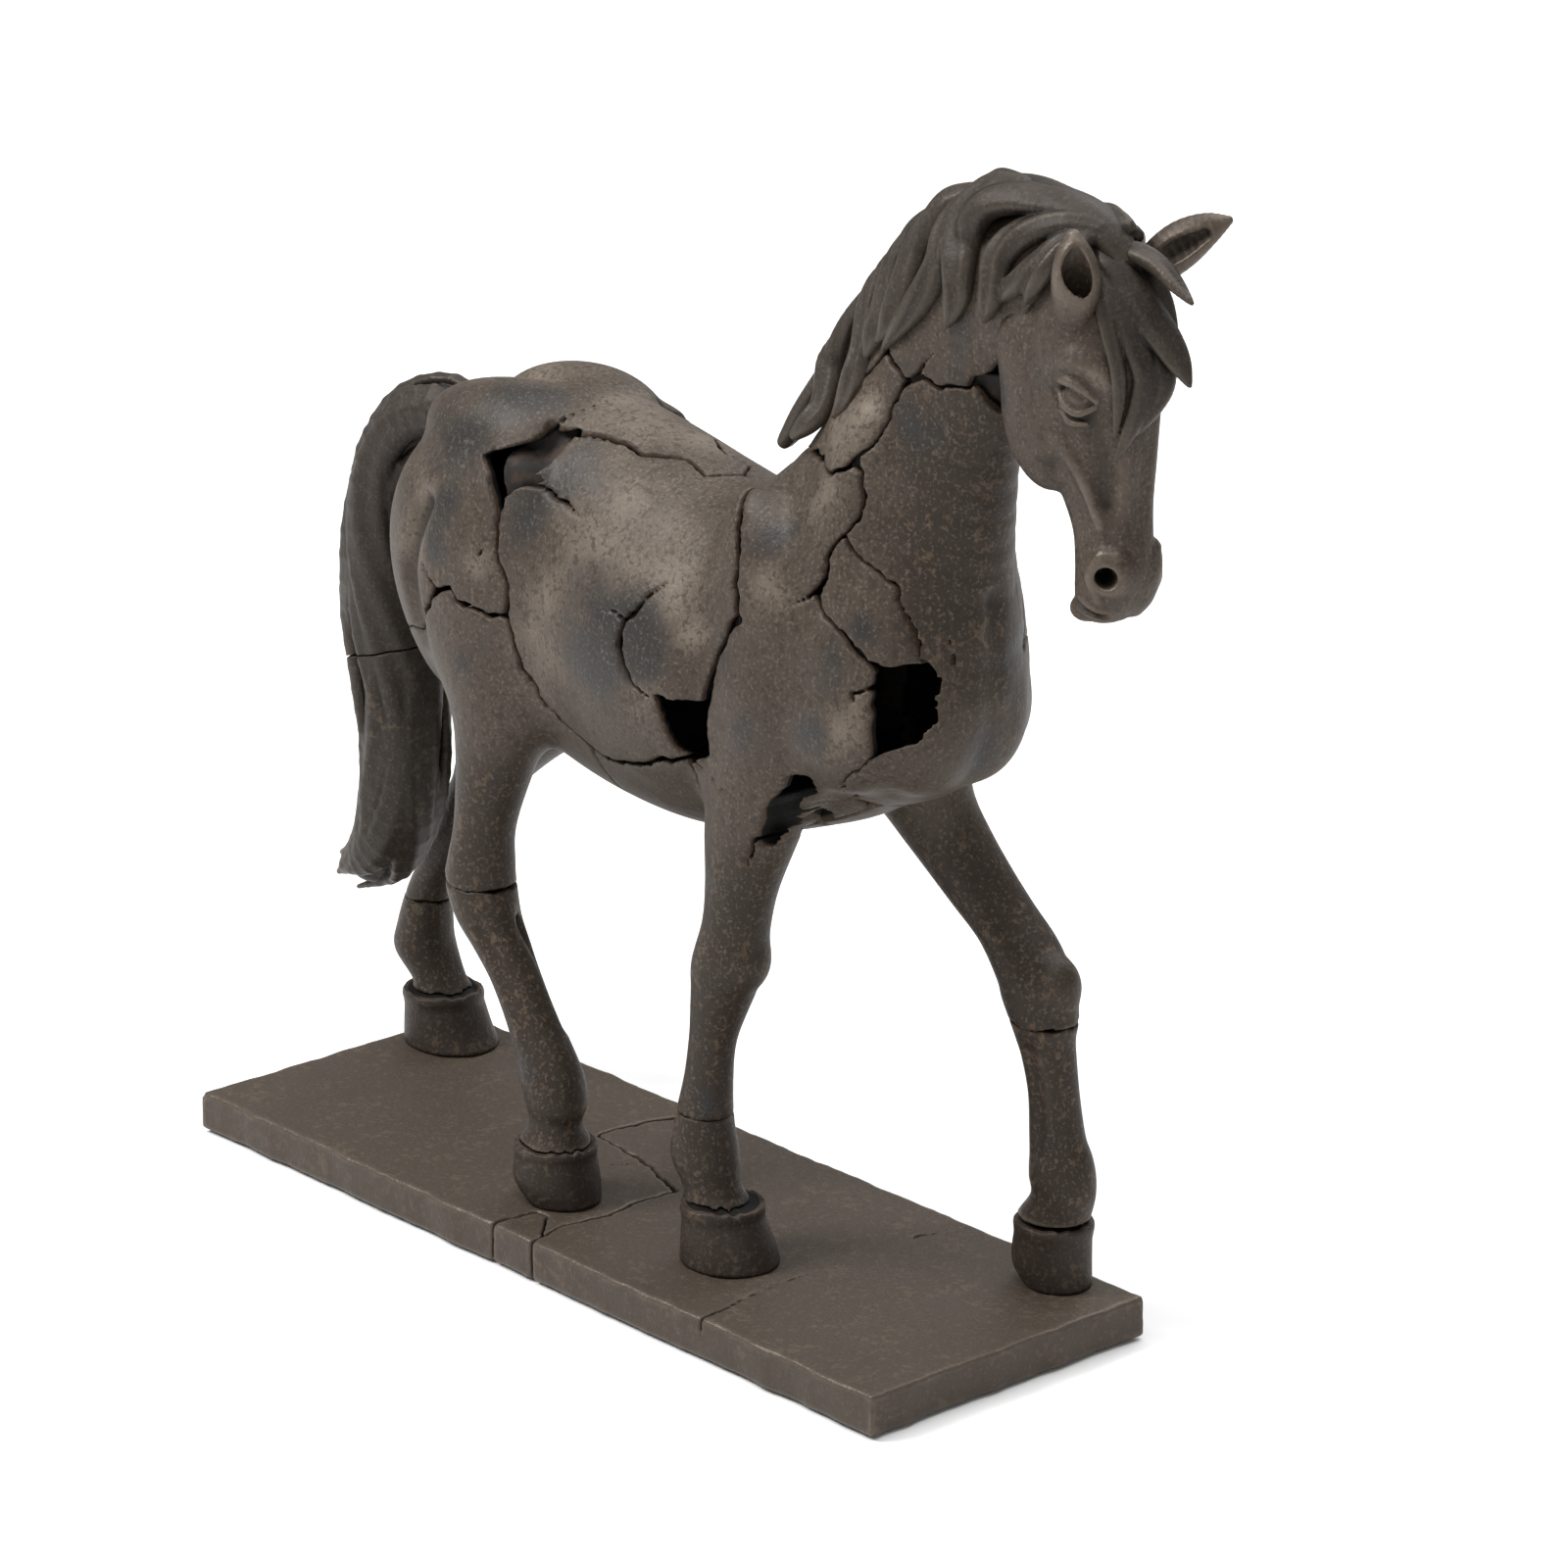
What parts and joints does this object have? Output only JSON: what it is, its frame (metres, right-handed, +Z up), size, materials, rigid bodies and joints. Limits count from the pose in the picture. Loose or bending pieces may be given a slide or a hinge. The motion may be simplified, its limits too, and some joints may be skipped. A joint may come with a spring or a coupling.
{
  "type": "horse statue",
  "caption": "Walking horse statue of thin cast shell pieces with open cracks and holes, on a cracked rectangular slab with a felt underside.",
  "frame": {"origin": "middle of the felt's flat underside, where the statue rests", "axes": "+X towards the horse's head, along the slab; +Y to the horse's left; +Z up"},
  "size_m": [0.5637, 0.165, 0.537],
  "materials": {
    "horse_bronze": "dry patinated bronze, matte, brown with slate-grey blotches and tan highlights",
    "hair_bronze": "dry patinated bronze, matte, combed",
    "hoof_bronze": "dark patinated bronze, slightly worn",
    "slab_bronze": "sandy brown-grey patina, matte, chipped edges",
    "felt": "dark pressed felt",
    "inner_steel": "dull, oxidised"
  },
  "bodies": {
    "root": {"barrel_shell_left": "horse_bronze", "barrel_shell_right": "horse_bronze", "base_chip": "slab_bronze", "base_front_slab": "slab_bronze", "base_rear_slab": "slab_bronze", "belly_band": "inner_steel", "belly_shell": "horse_bronze", "breast_shell": "horse_bronze", "cannon_front_left": "horse_bronze", "cannon_front_right": "horse_bronze", "cannon_hind_left": "horse_bronze", "cannon_hind_right": "horse_bronze", "chest_band": "inner_steel", "cross_bar": "inner_steel", "croup_shell": "horse_bronze", "ear_left": "horse_bronze", "ear_right": "horse_bronze", "felt_liner": "felt", "flank_band": "inner_steel", "forelock": "hair_bronze", "girth_band": "inner_steel", "head_shell": "horse_bronze", "hoof_front_left": "hoof_bronze", "hoof_front_right": "hoof_bronze", "hoof_hind_left": "hoof_bronze", "hoof_hind_right": "hoof_bronze", "leg_dowels": "inner_steel", "leg_studs": "inner_steel", "mane_lower": "hair_bronze", "mane_upper": "hair_bronze", "neck_band": "inner_steel", "neck_crest_shell": "horse_bronze", "neck_rod": "inner_steel", "shoulder_shell_left": "horse_bronze", "shoulder_shell_right": "horse_bronze", "slab_dowels": "inner_steel", "sternum_shell": "horse_bronze", "stud_nuts": "inner_steel", "stud_washers": "inner_steel", "tail_lower": "hair_bronze", "tail_upper": "hair_bronze", "thigh_shell_left": "horse_bronze", "thigh_shell_right": "horse_bronze", "throat_shell": "horse_bronze", "upper_leg_front_left": "horse_bronze", "upper_leg_front_right": "horse_bronze", "upper_leg_hind_left": "horse_bronze", "upper_leg_hind_right": "horse_bronze", "withers_shell": "horse_bronze"}
  },
  "joints": []
}
